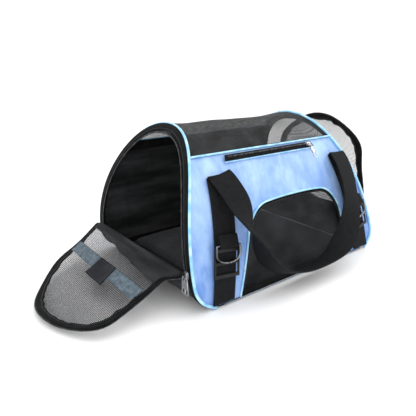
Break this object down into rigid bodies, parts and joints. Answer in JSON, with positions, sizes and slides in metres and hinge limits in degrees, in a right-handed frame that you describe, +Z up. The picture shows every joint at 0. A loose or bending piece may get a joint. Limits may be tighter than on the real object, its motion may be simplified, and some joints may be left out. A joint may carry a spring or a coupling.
{
  "type": "soft pet carrier",
  "caption": "Soft tunnel pet carrier with mesh roof and windows, a zipped door at each end and two carrying handles.",
  "frame": {"origin": "centre of the base, on its underside", "axes": "+X along the bag from the front door to the rear door, +Y across it, +Z up"},
  "size_m": [0.6196, 0.3984, 0.2529],
  "materials": {
    "blue_cloth": "satin woven nylon",
    "piping": "satin bias piping",
    "black_cloth": "matt woven polyester",
    "mesh": "open knitted mesh",
    "webbing": "ribbed webbing",
    "band_webbing": "grey webbing",
    "zip_tape": "woven tape with coil teeth",
    "plastic": "satin",
    "zinc": "plated zinc",
    "wire": "spring wire",
    "board": "fibre board",
    "mat_cloth": "quilted fleece"
  },
  "bodies": {
    "bag": {"base_panel": "black_cloth", "base_board": "board", "roof_mesh": "mesh", "pocket_zip": "zip_tape", "front_slider": "zinc", "rear_slider": "zinc", "near_side_panel": "blue_cloth", "near_window_mesh": "mesh", "near_seam_piping": "piping", "near_base_piping": "piping", "near_window_piping": "piping", "far_side_panel": "blue_cloth", "far_seam_piping": "piping", "far_base_piping": "piping", "front_end_piping": "piping", "front_end_band": "black_cloth", "front_bag_zip": "zip_tape", "front_hoop": "wire", "front_sill": "black_cloth", "rear_end_piping": "piping", "rear_end_band": "black_cloth", "rear_bag_zip": "zip_tape", "rear_hoop": "wire", "rear_sill": "black_cloth", "near_front_strap": "webbing", "near_front_glide": "plastic", "near_front_ring_tab": "webbing", "near_rear_strap": "webbing", "near_rear_glide": "plastic", "near_rear_ring_tab": "webbing", "far_front_strap": "webbing", "far_front_glide": "plastic", "far_front_ring_tab": "webbing", "far_rear_strap": "webbing", "far_rear_glide": "plastic", "far_rear_ring_tab": "webbing"},
    "front_door": {"front_door_strip": "black_cloth", "front_door_mesh": "mesh", "front_door_zip": "zip_tape", "front_door_binding": "black_cloth", "front_door_webbing": "band_webbing", "front_door_patch": "black_cloth"},
    "rear_door": {"rear_door_strip": "black_cloth", "rear_door_mesh": "mesh", "rear_door_zip": "zip_tape", "rear_door_binding": "black_cloth"},
    "floor_mat": {"floor_mat": "mat_cloth"},
    "near_handle": {"near_handle": "webbing"},
    "far_handle": {"far_handle": "webbing"},
    "pocket_slider": {"pocket_slider": "zinc"},
    "pocket_pull": {"pocket_pull": "zinc"},
    "front_pull_left": {"front_pull_left": "zinc"},
    "front_pull_right": {"front_pull_right": "zinc"},
    "rear_pull": {"rear_pull": "zinc"},
    "near_front_ring": {"near_front_ring": "zinc"},
    "near_rear_ring": {"near_rear_ring": "zinc"},
    "far_front_ring": {"far_front_ring": "zinc"},
    "far_rear_ring": {"far_rear_ring": "zinc"}
  },
  "joints": [
    {"name": "front_door_hinge", "type": "hinge", "parent": "bag", "child": "front_door", "pos_m": [-0.22401, 0, 0.057], "axis": [0, 1, 0], "range_deg": [0, 121.6]},
    {"name": "rear_door_hinge", "type": "hinge", "parent": "bag", "child": "rear_door", "pos_m": [0.20027, 0, 0.057], "axis": [0, 1, 0], "range_deg": [-26.4, 100]},
    {"name": "mat_lift", "type": "slide", "parent": "bag", "child": "floor_mat", "axis": [0, 0, 1], "range_m": [0, 0.06]},
    {"name": "near_handle_swing", "type": "hinge", "parent": "bag", "child": "near_handle", "pos_m": [0, -0.11347, 0.18308], "axis": [-1, 0, 0], "range_deg": [0, 160]},
    {"name": "far_handle_swing", "type": "hinge", "parent": "bag", "child": "far_handle", "pos_m": [0, 0.11347, 0.18308], "axis": [1, 0, 0], "range_deg": [0, 160]},
    {"name": "pocket_zip_slide", "type": "slide", "parent": "bag", "child": "pocket_slider", "axis": [-1, 0, 0], "range_m": [0, 0.17]},
    {"name": "pocket_pull_swing", "type": "hinge", "parent": "pocket_slider", "child": "pocket_pull", "pos_m": [0.065, -0.09674, 0.20855], "axis": [-1, 0, 0], "range_deg": [0, 140]},
    {"name": "front_pull_left_swing", "type": "hinge", "parent": "bag", "child": "front_pull_left", "pos_m": [-0.23059, -0.13882, 0.06094], "axis": [0, 1, 0], "range_deg": [0, 110]},
    {"name": "front_pull_right_swing", "type": "hinge", "parent": "bag", "child": "front_pull_right", "pos_m": [-0.23059, -0.13882, 0.06094], "axis": [0, 1, 0], "range_deg": [0, 110]},
    {"name": "rear_pull_swing", "type": "hinge", "parent": "bag", "child": "rear_pull", "pos_m": [0.17187, -0.10881, 0.15028], "axis": [0, -1, 0], "range_deg": [0, 80]},
    {"name": "near_front_ring_swing", "type": "hinge", "parent": "bag", "child": "near_front_ring", "pos_m": [-0.15947, -0.14791, 0.094], "axis": [-0.9924, 0.0259, 0.12], "range_deg": [0, 35]},
    {"name": "near_rear_ring_swing", "type": "hinge", "parent": "bag", "child": "near_rear_ring", "pos_m": [0.14693, -0.14791, 0.094], "axis": [-0.9708, -0.0506, -0.2347], "range_deg": [0, 35]},
    {"name": "far_front_ring_swing", "type": "hinge", "parent": "bag", "child": "far_front_ring", "pos_m": [-0.15947, 0.14791, 0.094], "axis": [0.9924, 0.0259, -0.12], "range_deg": [0, 35]},
    {"name": "far_rear_ring_swing", "type": "hinge", "parent": "bag", "child": "far_rear_ring", "pos_m": [0.14693, 0.14791, 0.094], "axis": [0.9708, -0.0506, 0.2347], "range_deg": [0, 35]}
  ]
}
